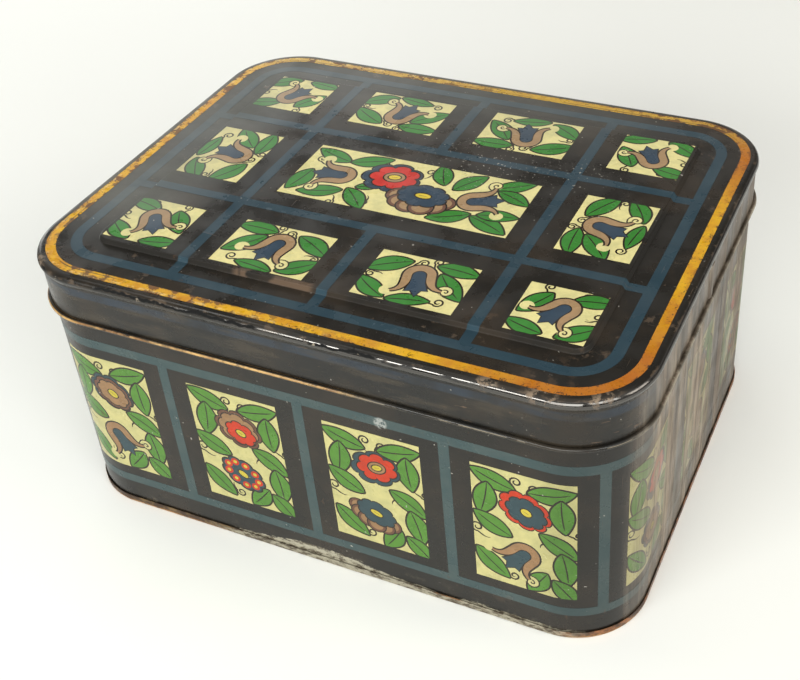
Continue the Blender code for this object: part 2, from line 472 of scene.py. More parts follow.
def leaf(length, width, curve):
    """A pointed leaf from the origin along X, with a dark edge and one rib."""
    steps = 14
    upper, lower = [], []
    for step in range(steps + 1):
        t = step / steps
        middle = curve * (1 - (2 * t - 1) ** 2)
        half = width / 2 * math.sin(math.pi * t ** 0.92) ** 0.85 if 0 < step < steps else 0.02
        upper.append((length * t, middle + half))
        lower.append((length * t, middle - half))
    rib = [(length * t, curve * (1 - (2 * t - 1) ** 2)) for t in (0.0, 0.2, 0.4, 0.6, 0.75, 0.88)]
    return outlined(lower + upper[::-1], "green") + drawn(rib, 0.5)


def spiral(radius, turns):
    """Points of a spiral that starts at the origin heading up and winds to the right."""
    steps = int(14 * turns)
    points = []
    for step in range(steps + 1):
        t = step / steps
        angle = math.pi - 2 * math.pi * turns * t
        reach = radius * (1 - 0.74 * t)
        points.append((radius * 0.85 + reach * math.cos(angle), reach * math.sin(angle)))
    return points


def volute(radius):
    """The curled end of a bell's rim: a cream spiral with a dark edge."""
    points = spiral(radius, 1.15)
    widths = [1.5 - 0.7 * k / (len(points) - 1) for k in range(len(points))]
    disc = [(radius * 0.85 + x, y) for x, y in ring(radius * 0.9, steps=18)]
    dark = ribbon(points, [width + 1.1 for width in widths])
    return [(disc, "cream"), (dark, "line"), (ribbon(points, widths), "cream")]


def tendril(radius):
    """A thin stem from the origin that ends in a spiral."""
    stem = bezier((0, 0), (-radius * 0.6, radius * 0.9), (0, radius * 1.4), (0, radius * 2.3), 8)
    points = stem[:-1] + [(x, stem[-1][1] + y) for x, y in spiral(radius, 1.3)]
    return drawn(points, 0.7)


def tulip():
    """A bell-shaped flower that opens downwards: a tan band over a navy heart, its ends curling outwards."""
    arch = bend((0, 2.2), 4.1, 0, 180, 12)
    right = bezier((4.1, 2.2), (4.0, -2.4), (4.9, -5.4), (8.6, -6.2), 10)
    left = [(-x, y) for x, y in right]
    bell = right[::-1] + arch[1:-1] + left
    widths = tapered(bell, 3.0, 0.2, 3.4)
    heart = bend((0, 2.2), 2.2, 0, 180, 8)
    heart += [(-2.5, -2.0), (-3.8, -6.4), (-1.7, -6.0), (0, -9.2), (1.7, -6.0), (3.8, -6.4), (2.5, -2.0)]
    shapes = []
    for side in (1, -1):
        shapes += moved(volute(2.5), at=(side * 7.7, -6.5), turn=side * 6, flip=side < 0)
    shapes += [(ribbon(bell, [w + 2 * LINE for w in widths]), "line")]
    shapes += outlined(heart, "navy", 0.5)
    return shapes + [(ribbon(bell, widths), "tan")]


def rosette(rings, eye=(2.0, 1.3)):
    """Rings from the outside in, as (radius x, radius y, petals, petal depth, ink, offset), and an eye."""
    shapes = []
    for radius_x, radius_y, petals, depth, ink, offset in rings:
        edge = ring(radius_x, radius_y, steps=8 * petals if petals else 28, scallops=petals, depth=depth)
        shapes += moved(outlined(edge, ink, 0.5), at=offset)
    centre = outlined(ring(*eye, steps=18), "yellow", 0.45)
    centre += drawn([(-eye[0] * 0.5, 0), (eye[0] * 0.5, 0)], 0.4)
    return shapes + moved(centre, at=rings[-1][5])


def poppy():
    """A tan and brown flower with a red heart."""
    return rosette([(9.8, 8.2, 8, 0.16, "brown", (0, 0)), (8.3, 6.8, 8, 0.15, "tan", (0.1, -0.1)),
                    (6.4, 5.0, 7, 0.18, "red", (1.6, -1.2))])


def wild_rose():
    """A red flower with a navy edge."""
    return rosette([(9.6, 7.8, 7, 0.15, "navy", (0, 0)), (7.9, 6.4, 7, 0.22, "red", (0.7, 0.3)),
                    (3.3, 2.5, 0, 0, "tan", (0.7, 0.3))], eye=(1.9, 1.2))


def dahlia():
    """A navy flower with round tan petals."""
    shapes = []
    for index in (0, 5, 1, 4, 2, 3):
        angle = math.radians(192 + 156 * index / 5)
        at = (7.2 * math.cos(angle), 5.4 * math.sin(angle))
        petal = [(ring(4.1, 3.8, steps=20), "line"), (ring(3.6, 3.3, steps=20), "brown")]
        shapes += moved(petal + [(ring(2.7, 2.4, steps=16), "tan")], at=at)
    return shapes + rosette([(7.8, 5.4, 9, 0.13, "navy", (0, 0.6))], eye=(2.4, 1.2))


def aster():
    """A navy flower with red and yellow dots round its edge."""
    shapes = outlined(ring(9.4, 6.8, steps=72, scallops=9, depth=0.14), "navy")
    for index in range(9):
        angle = 2 * math.pi * (index + 0.5) / 9
        at = (6.9 * math.cos(angle), 4.8 * math.sin(angle))
        shapes += moved([(ring(1.75, steps=14), "red"), (ring(0.8, steps=10), "yellow")], at=at)
    return shapes + outlined(ring(2.2, 1.2, steps=16), "yellow", 0.45)


def cornflower():
    """A navy flower in a red scalloped ring."""
    rings = [(9.8, 7.8, 9, 0.15, "red", (0, 0)), (7.6, 5.9, 8, 0.15, "navy", (0.7, -0.3))]
    return rosette(rings, eye=(2.0, 1.5))


def marigold():
    """A tan flower with a brown ring and a navy edge."""
    return rosette([(9.6, 7.4, 8, 0.13, "navy", (-0.4, 0.4)), (8.6, 6.4, 8, 0.12, "brown", (0.1, 0.1)),
                    (7.0, 5.0, 8, 0.13, "tan", (0.3, 0))], eye=(2.2, 1.5))


def leaves(placed, rng):
    """Leaves as (x and y of the stalk, way it points, length, width, curve), each set down unevenly."""
    shapes = []
    for x, y, turn, length, width, curve in placed:
        at = (x + rng.uniform(-0.4, 0.4), y + rng.uniform(-0.4, 0.4))
        shapes += moved(leaf(length, width, curve), at=at, turn=turn + rng.uniform(-4, 4))
    return shapes


def tendrils(placed):
    """Tendrils as (x and y of the root, way it points, radius, mirrored or not)."""
    shapes = []
    for x, y, turn, radius, flip in placed:
        shapes += moved(tendril(radius), at=(x, y), turn=turn - 90, flip=flip)
    return shapes


def box(xs, ys):
    """A rectangle between two values each way."""
    return [(xs[0], ys[0]), (xs[1], ys[0]), (xs[1], ys[1]), (xs[0], ys[1])]


def band(middle, width):
    """The two edges of a band about its middle."""
    return middle - width / 2, middle + width / 2


def square_picture(rng):
    """For the lid's outer columns: one bell flower on the slant among leaves."""
    shapes = tendrils([(-5.0, 8.0, 130, 1.9, False), (4.0, 8.4, 60, 1.7, False), (10.0, -1.2, 20, 1.9, True)])
    shapes += leaves([(-4.6, 9.6, -122, 15.0, 7.8, 0.5), (3.2, 7.6, 14, 15.0, 6.8, 0.6),
                      (3.4, -12.6, 34, 15.5, 7.2, -0.6), (-1.2, -12.2, 168, 14.5, 6.4, 0.4)], rng)
    return shapes + moved(tulip(), at=(0.6, 0.8), turn=-30, size=0.98)


def wide_picture(rng):
    """For the lid's inner columns, turned for the side cells: the same flower with more leaves."""
    shapes = tendrils([(4.6, 6.6, 110, 1.9, True), (-4.0, 8.0, 60, 1.8, True), (-7.0, -8.6, 200, 2.1, False),
                       (12.6, -0.4, 10, 1.8, False)])
    shapes += leaves([(-3.4, 9.8, 182, 16.5, 7.0, -0.6), (-6.6, 6.0, -136, 17.0, 7.8, 0.6),
                      (5.2, 10.2, -28, 17.5, 7.8, 0.6), (7.0, -11.6, 34, 16.0, 7.2, -0.6),
                      (5.6, -12.2, 172, 15.5, 5.6, -0.3)], rng)
    return shapes + moved(tulip(), at=(-0.4, 1.0), turn=-16, size=1.04)


def centre_picture(rng):
    """For the middle of the lid: two flowers between two bells."""
    shapes = tendrils([(-19.0, 8.6, 80, 2.1, False), (-37.2, 5.2, 160, 2.3, False),
                       (-25.4, -13.4, -60, 1.9, False), (19.6, 8.8, 30, 2.2, True),
                       (39.0, 2.4, 60, 2.2, True), (2.4, 8.4, 60, 2.0, True),
                       (-12.6, -9.4, -70, 2.0, False), (13.2, -12.6, -20, 2.0, True)])
    shapes += leaves([(-30.4, 10.2, 158, 17.0, 7.2, 0.5), (-30.0, 9.8, 22, 17.0, 7.0, -0.5),
                      (-41.6, 1.0, -100, 16.0, 8.0, 0.5), (-24.0, -9.4, 196, 17.5, 7.0, 0.5),
                      (-22.2, -7.4, -48, 16.0, 7.4, 0.5), (-19.8, -5.8, 20, 9.0, 4.2, 0.3),
                      (11.8, 6.4, 116, 14.5, 7.2, 0.5), (16.0, 4.4, 58, 15.5, 7.6, 0.5),
                      (30.0, 10.0, 30, 17.0, 6.8, -0.5), (33.6, 9.0, -20, 15.0, 6.4, 0.5),
                      (28.6, -8.4, 210, 16.5, 7.2, 0.5), (29.8, -9.6, -24, 17.5, 7.6, 0.5),
                      (31.2, -8.2, 12, 15.5, 6.4, 0.4)], rng)
    shapes += moved(tulip(), at=(-31.4, 0.0), turn=-84, size=1.04)
    shapes += moved(tulip(), at=(28.8, 0.6), turn=112, size=1.04)
    shapes += moved(wild_rose(), at=(-9.4, 5.0), turn=8, size=1.25)
    return shapes + moved(dahlia(), at=(7.4, -3.6), size=1.3)


def tall_picture(upper, lower, rng):
    """For the body: one flower above another among leaves."""
    shapes = tendrils([(-1.6, 18.4, 118, 2.2, False), (1.4, 18.6, 74, 1.9, False),
                       (-12.4, -6.6, 160, 2.5, False), (-6.6, -18.0, -80, 2.1, True),
                       (5.8, -4.4, 60, 1.8, False), (14.8, 5.8, -40, 1.8, True)])
    shapes += leaves([(-2.4, 19.8, 158, 17.0, 7.4, 0.6), (1.8, 20.4, 16, 17.0, 7.2, -0.6),
                      (-12.4, 20.0, -99, 16.0, 8.0, 0.5), (13.2, 20.2, -84, 15.5, 8.0, -0.5),
                      (-4.8, -3.0, 148, 16.0, 7.6, 0.5), (5.4, 2.6, -34, 16.5, 7.4, 0.6),
                      (13.0, -5.4, -80, 16.0, 8.2, 0.5), (-17.6, -12.6, -48, 17.0, 7.4, -0.5),
                      (8.4, -17.0, -126, 13.0, 7.4, 0.3), (10.2, -19.0, -50, 13.5, 7.0, 0.3)], rng)
    return shapes + moved(lower, at=(-1.4, -12.2)) + moved(upper, at=(0.6, 11.2))


# ---------------------------------------------------------------- plates of ink

def signed_area(points):
    return sum(a[0] * b[1] - b[0] * a[1] for a, b in zip(points, points[1:] + points[:1])) / 2


def tessellated(shapes, guides):
    """Triangles of a drawing, each with the ink of the last shape over it. The first shape is its extent."""
    points, faces, edges = [], [], []
    for outline, _ in shapes:
        if signed_area(outline) < 0:
            outline = outline[::-1]
        faces.append(list(range(len(points), len(points) + len(outline))))
        points += [Vector(point) for point in outline]
    for start, end in guides:
        edges.append((len(points), len(points) + 1))
        points += [Vector(start), Vector(end)]
    verts, _, triangles, _, _, owners = delaunay_2d_cdt(points, edges, faces, 0, 1e-5, True)
    result = []
    for triangle, covering in zip(triangles, owners):
        if 0 in covering and shapes[max(covering)][1] is not None:
            result.append((triangle, shapes[max(covering)][1]))
    return verts, result


def ink_plate(name, body, shapes, place, material, guides=(), inks=LID_INKS):
    """A thin closed plate of ink. place(x, y, lift) puts a point of the drawing, in metres, on the tin."""
    verts, triangles = tessellated(shapes, guides)
    used = sorted({index for triangle, _ in triangles for index in triangle})
    bm = bmesh.new()
    across = bm.verts.layers.float.new("across")
    colour = bm.faces.layers.float_vector.new("ink")
    top, bottom = {}, {}
    for index in used:
        x, y = verts[index]
        for layer, lift in ((top, INK), (bottom, -INK_SINK)):
            layer[index] = bm.verts.new(place(x * MM, y * MM, lift))
            layer[index][across] = y * MM
    open_edges = {}
    for triangle, ink in triangles:
        a, b, c = triangle
        rgb = inks.get(ink, (0, 0, 0))
        bm.faces.new((top[a], top[b], top[c]))[colour] = rgb
        bm.faces.new((bottom[c], bottom[b], bottom[a]))[colour] = rgb
        for edge in ((a, b), (b, c), (c, a)):
            if edge[::-1] in open_edges:
                del open_edges[edge[::-1]]
            else:
                open_edges[edge] = rgb
    for (a, b), rgb in open_edges.items():
        bm.faces.new((top[b], top[a], bottom[a], bottom[b]))[colour] = rgb
    piece(name, body, bm, [material], INK_SHARP)


# Printed layout of the lid, in millimetres from its middle
OUTER_CELL = (65.1, 92.7)
INNER_CELL = (9.3, 46.9)
END_ROW = (38.75, 65.2)
MIDDLE_ROW = (-18.2, 18.2)
LATTICE_X = 56.0
LATTICE_Y = 28.5
LATTICE_WIDTH = 4.2
BAND_MARGIN = 14.5            # lid's edge to the middle of the blue band
GOLD_MARGIN = 5.3             # lid's edge to the middle of the gold line
GOLD_WIDTH = 3.7
SLOPE_STEPS = 6               # edges in the lattice's plate across the embossing's slope

# Printed layout of the body
PANELS = 14
PANEL_PITCH = PERIMETER / MM / PANELS
FIRST_BAR = -57.84 - PANEL_PITCH   # left of the front-left corner's picture, from the middle of the front
PANEL_WIDTH = 36.9
PANEL_LOW, PANEL_HIGH = 20.3, 75.5
BAND_LOW, BAND_HIGH = 13.8, 82.0
BAR_WIDTH = 4.0


def cell_plate(name, columns, rows, shapes, material):
    """One picture of the lid, between two distances along X and two along Y, on a cream ground."""
    centre = (sum(columns) / 2, sum(rows) / 2)
    ground = [(box(band(0, columns[1] - columns[0]), band(0, rows[1] - rows[0])), "cream")]
    ink_plate(name, "lid", moved(ground + shapes, at=centre), on_lid, material)


def lid_pictures(material):
    """The eleven pictures: four in the front and back rows, two at the sides, the long one in the middle."""
    rng = random.Random(4)
    for side, side_name in ((-1, "left"), (1, "right")):
        columns = sorted(side * edge for edge in OUTER_CELL)
        for row, row_name in ((-1, "front"), (1, "back")):
            rows = sorted(row * edge for edge in END_ROW)
            picture = moved(square_picture(rng), turn=180 if row > 0 else 0, flip=side * row > 0)
            cell_plate(f"print_lid_{side_name}_{row_name}", columns, rows, picture, material)
            inner = sorted(side * edge for edge in INNER_CELL)
            picture = moved(wide_picture(rng), turn=180 if row > 0 else 0, flip=side > 0)
            cell_plate(f"print_lid_inner_{side_name}_{row_name}", inner, rows, picture, material)
        picture = moved(wide_picture(rng), turn=90 * side)
        cell_plate(f"print_lid_{side_name}_middle", columns, MIDDLE_ROW, picture, material)
    centre_columns = (-INNER_CELL[1], INNER_CELL[1])
    cell_plate("print_lid_centre", centre_columns, MIDDLE_ROW, centre_picture(rng), material)


def plan_outline(out):
    """The plan at a distance outwards, in millimetres, anticlockwise."""
    points = []
    for mark in loop_stops():
        centre, normal = station(mark)
        point = centre + normal * out
        points.append((point.x / MM, point.y / MM))
    return points


def lid_lattice(material):
    """The blue lattice and the blue band round it, in one plate that follows the embossing's slope."""
    round_out = SHOULDER - BAND_MARGIN * MM
    inner, outer = band(round_out, LATTICE_WIDTH * MM)
    shapes = [(plan_outline(outer), "blue"), (plan_outline(inner), None)]
    reach_x = ARC_X / MM + round_out / MM
    reach_y = ARC_Y / MM + round_out / MM
    for side in (-1, 1):
        rows, columns = band(side * LATTICE_Y, LATTICE_WIDTH), band(side * LATTICE_X, LATTICE_WIDTH)
        ends = sorted((side * LATTICE_Y, side * reach_y))
        shapes.append((box((-reach_x, reach_x), rows), "blue"))
        shapes.append((box(columns, (-reach_y, reach_y)), "blue"))
        shapes.append((box(band(0, LATTICE_WIDTH), ends), "blue"))
    guides = []
    for step in range(SLOPE_STEPS + 1):
        outline = plan_outline(EMBOSS_TOP + EMBOSS_RUN * step / SLOPE_STEPS)
        guides += list(zip(outline, outline[1:] + outline[:1]))
    ink_plate("print_lid_lattice", "lid", shapes, on_lid, material, guides)


def gold_line(material):
    """The gold line round the lid's rim: a thin closed strip swept round the plan."""
    profile = box(band(SHOULDER - GOLD_MARGIN * MM, GOLD_WIDTH * MM), (RIM_Z - INK_SINK, RIM_Z + INK))
    bm = loft(profile, loop_stops(), True, True, [0] * 4)
    across = bm.verts.layers.float["across"]
    for vert in bm.verts:
        vert[across] = outward(vert.co.x, vert.co.y)
    sheet("print_gold_line", "lid", bm, [material])


def wall_plate(name, shapes, material, reach, heights):
    """Ink on the wall, with upright edges that make it follow the corners."""
    marks = stops(reach[0] * MM, reach[1] * MM)[1:-1]
    guides = [((mark / MM, heights[0]), (mark / MM, heights[1])) for mark in marks]
    ink_plate(name, "tin_body", shapes, on_wall, material, guides, SHADED_BODY_INKS)


def wall_pictures(material):
    """The fourteen pictures round the body, from the front-left corner."""
    rng = random.Random(11)
    kinds = [(marigold, -38, tulip, 30), (poppy, -30, aster, -34), (wild_rose, 12, dahlia, -24),
             (cornflower, -32, tulip, -38), (wild_rose, 20, marigold, -25)]
    middle_z = (PANEL_LOW + PANEL_HIGH) / 2
    for index in range(PANELS):
        upper, upper_turn, lower, lower_turn = kinds[index % len(kinds)]
        centre = FIRST_BAR + PANEL_PITCH * (index + 0.5)
        picture = tall_picture(moved(upper(), turn=upper_turn), moved(lower(), turn=lower_turn), rng)
        picture = moved(picture, flip=(index // len(kinds)) % 2 == 1)
        ground = [(box(band(0, PANEL_WIDTH), band(0, PANEL_HIGH - PANEL_LOW)), "cream")]
        shapes = moved(ground + picture, at=(centre, middle_z))
        name = f"print_body_{index + 1:02d}"
        wall_plate(name, shapes, material, band(centre, PANEL_WIDTH), (PANEL_LOW, PANEL_HIGH))


def wall_lattice(name, reach, material):
    """The blue bars and bands on half of the body, between two seams."""
    reach = (reach[0] / MM, reach[1] / MM)
    heights = (BAND_LOW - BAR_WIDTH / 2, BAND_HIGH + BAR_WIDTH / 2)
    shapes = [(box(reach, heights), None)]
    shapes += [(box(reach, band(z, BAR_WIDTH)), "blue") for z in (BAND_LOW, BAND_HIGH)]
    for lap in range(-PANELS, 2 * PANELS):
        bar = band(FIRST_BAR + lap * PANEL_PITCH, BAR_WIDTH)
        if reach[0] < bar[0] and bar[1] < reach[1]:
            shapes.append((box(bar, heights), "blue"))
    wall_plate(name, shapes, material, reach, heights)


# ---------------------------------------------------------------- materials

class Coat:
    """One material's node tree, with short calls for what the materials below share.

    Its colour starts as two tones in patches, given as for patches(), and is painted over from there.
    """

    def __init__(self, name, tones=None, patches=None, metallic=0.0, specular=0.5):
        self.material = bpy.data.materials.new(name)
        self.material.use_nodes = True
        self.tree = self.material.node_tree
        self.shader = self.tree.nodes["Principled BSDF"]
        self.shader.inputs["Metallic"].default_value = metallic
        self.shader.inputs["Specular IOR Level"].default_value = specular
        self.place = self.node("TexCoord").outputs["Object"]
        self.axes = dict(zip("xyz", self.node("SeparateXYZ", {0: self.place}).outputs))
        self.colour = self.mix(self.patches(*patches), *tones) if tones else None

    def node(self, kind, inputs=None, **settings):
        """A new node with these settings, and with these values or sockets fed to its inputs."""
        made = self.tree.nodes.new("ShaderNode" + kind)
        for name, setting in settings.items():
            setattr(made, name, setting)
        for socket, value in (inputs or {}).items():
            self.feed(made.inputs[socket], value)
        return made

    def feed(self, socket, value):
        if isinstance(value, bpy.types.NodeSocket):
            self.tree.links.new(value, socket)
        elif isinstance(value, tuple) and socket.type == "RGBA":
            socket.default_value = (*value, 1)
        else:
            socket.default_value = value

    def attribute(self, name, output="Fac"):
        return self.node("Attribute", attribute_name=name).outputs[output]

    def math(self, operation, first, second=0.0, clamp=False):
        return self.node("Math", {0: first, 1: second}, operation=operation, use_clamp=clamp).outputs[0]

    def plus(self, first, second, share=1.0):
        """first, and a share of second."""
        if share != 1:
            second = self.math("MULTIPLY", second, share)
        return self.math("ADD", first, second)

    def times(self, *masks):
        return reduce(lambda first, second: self.math("MULTIPLY", first, second, clamp=True), masks)

    def either(self, *masks):
        return reduce(lambda first, second: self.math("MAXIMUM", first, second), masks)

    def noise(self, scale, detail=2.0, roughness=0.5, at=None):
        inputs = {"Vector": at or self.place, "Scale": scale, "Detail": detail, "Roughness": roughness}
        return self.node("TexNoise", inputs).outputs["Fac"]

    def grain(self, scales, detail, roughness, turn_deg=0):
        """Noise with its own scale along each of the tin's axes, turned about the upright one."""
        turn = (0, 0, math.radians(turn_deg))
        mapping = self.node("Mapping", {"Vector": self.place, "Rotation": turn, "Scale": scales})
        return self.noise(1.0, detail, roughness, mapping.outputs[0])

    def level(self, value, low, high, to_low=0.0, to_high=1.0):
        """value from low to high, mapped smoothly from to_low to to_high. value may be an axis, in mm."""
        if isinstance(value, str):
            value, low, high = self.axes[value], low * MM, high * MM
        inputs = {"Value": value, "From Min": low, "From Max": high, "To Min": to_low, "To Max": to_high}
        return self.node("MapRange", inputs, interpolation_type="SMOOTHSTEP").outputs[0]

    def between(self, value, low, high, soft):
        """1 where value lies between low and high, with soft ends."""
        rise, fall = self.level(value, low - soft, low + soft), self.level(value, high + soft, high - soft)
        return self.times(rise, fall)

    def patches(self, low, high, *noise):
        """1 in patches, where a noise rises from low to high."""
        return self.level(self.noise(*noise), low, high)

    def spot(self, centre, radius, soft=0.6):
        """1 near a point of the tin, falling to 0 at the radius, in mm."""
        inputs = {0: self.place, 1: [number * MM for number in centre]}
        away = self.node("VectorMath", inputs, operation="DISTANCE").outputs["Value"]
        return self.level(away, radius * (1 - soft) * MM, radius * MM, 1.0, 0.0)

    def spots(self, z, *places):
        """Spots at one height, as (x, y, radius)."""
        return self.either(*[self.spot((x, y, z), radius) for x, y, radius in places])

    def mix(self, factor, first, second):
        # Of the mix node's sockets, 6 and 7 take colours and 2 gives one
        return self.node("Mix", {0: factor, 6: first, 7: second}, data_type="RGBA").outputs[2]

    def paint(self, tone, *masks):
        """Paints over what is there where every mask is 1."""
        self.colour = self.mix(self.times(*masks), self.colour, tone)

    def bump(self, height, strength, distance, normal=None):
        bump = self.node("Bump", {"Height": height, "Strength": strength, "Distance": distance})
        if normal is not None:
            self.feed(bump.inputs["Normal"], normal)
        return bump.outputs["Normal"]

    def finish(self, roughness, normal):
        for name, value in (("Base Color", self.colour), ("Roughness", roughness), ("Normal", normal)):
            self.feed(self.shader.inputs[name], value)
        return self.material


# Places in millimetres, as the materials use them
CORNER_X, CORNER_Y = ARC_X / MM, ARC_Y / MM
RIM = RIM_Z / MM
HEM = HEM_Z / MM

BARE_TIN = (0.36, 0.34, 0.30)
RUST = (0.075, 0.040, 0.020)
SCUFF = (0.125, 0.080, 0.050)
FILM_AND_REFLECTION = (0.290, 0.228, 0.168)   # the worn print of the right-hand side under a dull veil, painted pale partly as a reflection of the floor
DARK_FILM_AND_SHADE = (0.120, 0.086, 0.058)
PALE_FILM_AND_LIGHT = (0.43, 0.385, 0.30)
DARKER_TONE = (0.0065, 0.0058, 0.0050)
DUST_AND_SHEEN = (0.215, 0.218, 0.195)   # ground into the lid along its left and back, painted pale partly as a reflected sheen of the light behind
FLAKED = (0.0025, 0.0025, 0.0025)
POLISHED = (0.105, 0.100, 0.095)


def rub_side_with_painted_reflection(coat):
    """Rubs the print away down the right-hand side under a dull veil, in upright smears, its pale tones
    partly a painted reflection of the floor. Gives how far.
    """
    broad = coat.grain((105, 105, 14), 4, 0.6)
    fine = coat.grain((300, 300, 24), 5, 0.7)
    hairs = coat.grain((650, 650, 26), 3, 0.6)
    side = coat.level("x", CORNER_X + 21.5, CORNER_X + 26.5)
    below = coat.level("z", RIM - 2.2, RIM - 4.5)
    further = coat.level("y", -77, -52, 0.50, 1.0)
    on_skirt = coat.level("z", HEM - 1, HEM + 1)
    corner = coat.level("y", -78, -58, 0.55, 0.22)
    on_skirt = coat.math("SUBTRACT", 1.0, coat.math("MULTIPLY", on_skirt, corner))
    rubbed_and_reflecting = coat.times(side, below, further, on_skirt, coat.level(broad, 0.40, 0.60, 0.36, 0.95))
    # Painted shade: the veil darkens towards the back.
    shade = coat.math("SUBTRACT", fine, coat.level("y", -45, 75, -0.04, 0.12))
    film_and_reflection = coat.mix(coat.level(shade, 0.40, 0.62), DARK_FILM_AND_SHADE, FILM_AND_REFLECTION)
    film_and_reflection = coat.mix(coat.times(coat.level(hairs, 0.54, 0.68), 0.55), film_and_reflection, PALE_FILM_AND_LIGHT)
    # Painted light: the hem and the wall just under it are painted paler, to offset the shade along the hem.
    hem_painted_light = coat.times(coat.between("z", HEM - 0.6, HEM + 0.75, 0.15), 0.65)
    film_and_reflection = coat.mix(hem_painted_light, film_and_reflection, PALE_FILM_AND_LIGHT)
    # Darker towards and along the right-hand side, below the rim.
    coat.paint(DARKER_TONE, coat.level("x", CORNER_X - 8, CORNER_X + 6), below, 0.27)
    # Painted reflection: the worn veil over the right-hand side is painted pale, partly as the floor's
    # reflection.
    coat.paint(film_and_reflection, rubbed_and_reflecting)
    return rubbed_and_reflecting


def dust_and_sheen(coat):
    """How much the lid is clouded by dusty smears, ground in on the slant, their paleness partly a painted
    reflection.
    """
    smears = coat.grain((10, 46, 10), 4, 0.6, -28)
    left = coat.level("x", -62, -97)
    back = coat.times(coat.level("y", 34, 76), coat.level("x", 95, 20), 0.75)
    behind_front = coat.level("y", -70, -36)
    on_top = coat.level("z", RIM - 1.2, RIM - 0.4)
    smears = coat.level(smears, 0.30, 0.68, 0.45, 1.0)
    return coat.times(coat.either(left, back), behind_front, on_top, smears)


def slope_of_lid(coat):
    """1 on the embossing's slope."""
    return coat.between("z", RIM + 0.2, PLATEAU_Z / MM - 0.2, 0.12)


def printed(coat, polish=None, dull=None):
    """Finishes a print with what all share: soft dents, scratches, chips, flecks, dusty smears with a painted
    sheen, and the worn right-hand side with a painted reflection.

    polish is 1 where the surface is worn to a shine, dull is 1 where it has none.
    """
    patch = coat.noise(26, 3)
    chips = coat.times(coat.patches(0.75, 0.785, 620, 1), coat.patches(0.50, 0.60, 45, 2))
    scatter = coat.either(coat.spot((20, 26, 113), 36, 0.9), coat.spot((57, 30, 113), 18, 0.9))
    chips = coat.either(chips, coat.times(scatter, coat.patches(0.70, 0.72, 950, 1, 0.4)))
    flecks = coat.times(coat.patches(0.66, 0.74, 330, 3, 0.65), coat.level(patch, 0.48, 0.62))
    thin = coat.grain((60, 1500, 60), 2, 0.5, 35)
    thinner = coat.grain((1700, 80, 1500), 2, 0.5, -20)
    scratches = coat.either(coat.level(thin, 0.715, 0.745), coat.level(thinner, 0.725, 0.755))
    scratches = coat.times(scratches, coat.patches(0.50, 0.64, 33, 2))
    dust_sheen = dust_and_sheen(coat)
    coat.paint(RUST, flecks, 0.45)
    coat.paint(SCUFF, scratches, 0.35)
    # Painted reflection: the pale smears on the lid's left and back stand partly for a sheen of the light
    # behind.
    coat.paint(DUST_AND_SHEEN, dust_sheen, 0.42)
    # The right-hand side, worn and painted pale partly as a reflection of the floor.
    rubbed_and_reflecting = rub_side_with_painted_reflection(coat)
    coat.paint(BARE_TIN, chips, 0.85)
    knock = coat.times(coat.spot((30, -89, 81.6), 3.0, 0.45), coat.patches(0.44, 0.50, 480, 4, 0.8))
    coat.paint((0.33, 0.34, 0.32), knock, 0.8)
    rough = coat.level(coat.noise(60, 4, 0.6), 0.3, 0.72, 0.20, 0.40)
    rough = coat.plus(rough, coat.times(coat.either(scratches, rubbed_and_reflecting), 0.22))
    rough = coat.plus(rough, coat.times(dust_sheen, 0.30))
    if polish is not None:
        rough = coat.math("MULTIPLY", rough, coat.level(polish, 0.0, 1.0, 1.0, 0.38))
        coat.paint(POLISHED, polish)
        coat.feed(coat.shader.inputs["Metallic"], polish)
    if dull is not None:
        rough = coat.either(rough, dull)
    dents = coat.bump(coat.noise(17, 1), 0.30, 0.0012)
    normal = coat.bump(coat.noise(900, 2, 0.6), 0.10, 0.00012, dents)
    return coat.finish(rough, normal)


BROWNED = (0.42, 0.68, 38, 4, 0.6)   # the patches in which black has gone brown


